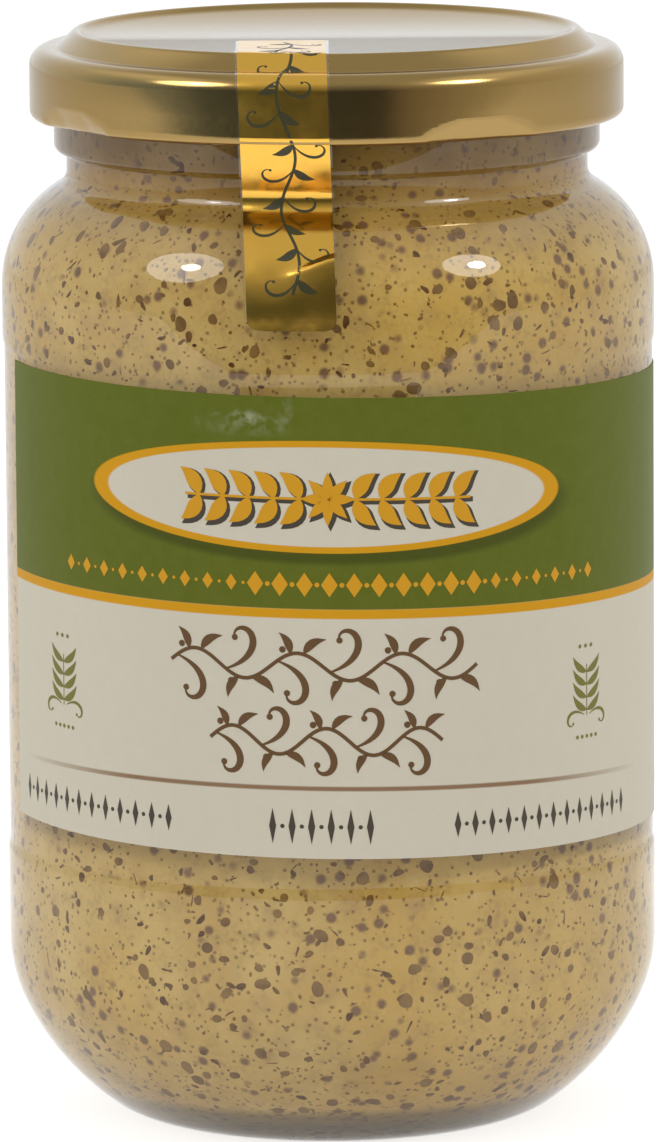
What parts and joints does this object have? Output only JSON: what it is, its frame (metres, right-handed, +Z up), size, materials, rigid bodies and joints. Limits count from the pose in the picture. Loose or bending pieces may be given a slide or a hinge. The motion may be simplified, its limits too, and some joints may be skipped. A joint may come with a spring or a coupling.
{
  "type": "mustard jar",
  "caption": "Round glass jar of wholegrain mustard with a domed heel and shoulder, a gold twist-off lid, a paper wrap label and a foil tamper strip.",
  "frame": {"origin": "middle of the jar's foot, on the plane it stands on", "axes": "+Z up along the jar's axis; -Y is the front, where the label's main panel and the tamper strip are"},
  "size_m": [0.0742, 0.0743, 0.1244],
  "materials": {
    "clear_glass": "clear gloss",
    "mustard_paste": "moist grainy paste",
    "gold_lacquer": "satin gold lacquer on tinplate",
    "label_paper": "printed, satin",
    "gold_film": "metallised gloss film"
  },
  "bodies": {
    "root": {"jar": "clear_glass", "mustard": "mustard_paste", "lid": "gold_lacquer", "label": "label_paper", "seal_strip": "gold_film"}
  },
  "joints": []
}
